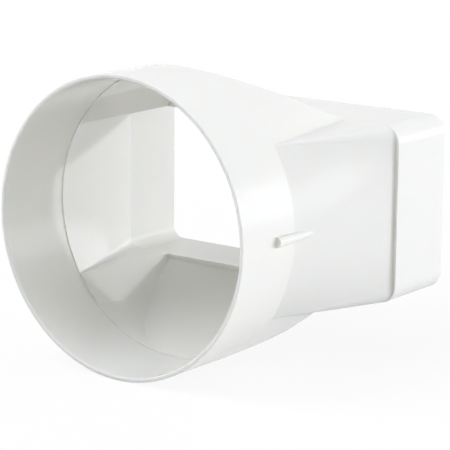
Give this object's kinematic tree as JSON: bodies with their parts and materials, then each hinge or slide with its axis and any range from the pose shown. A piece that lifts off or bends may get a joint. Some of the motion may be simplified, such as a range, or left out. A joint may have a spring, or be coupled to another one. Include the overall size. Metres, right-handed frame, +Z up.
{
  "type": "flat duct connector",
  "caption": "White moulded adapter that joins a round duct to a flat rectangular duct, with a round collar, ramped body and rectangular socket.",
  "frame": {"origin": "centre of the round collar's rim", "axes": "+Y along the duct from the round rim to the flat socket, +X across the wide side of the flat duct, +Z up, square to the flat duct"},
  "size_m": [0.1156, 0.101, 0.098],
  "materials": {
    "white_plastic": "smooth glossy white moulded plastic"
  },
  "bodies": {
    "root": {"connector_body": "white_plastic"}
  },
  "joints": []
}
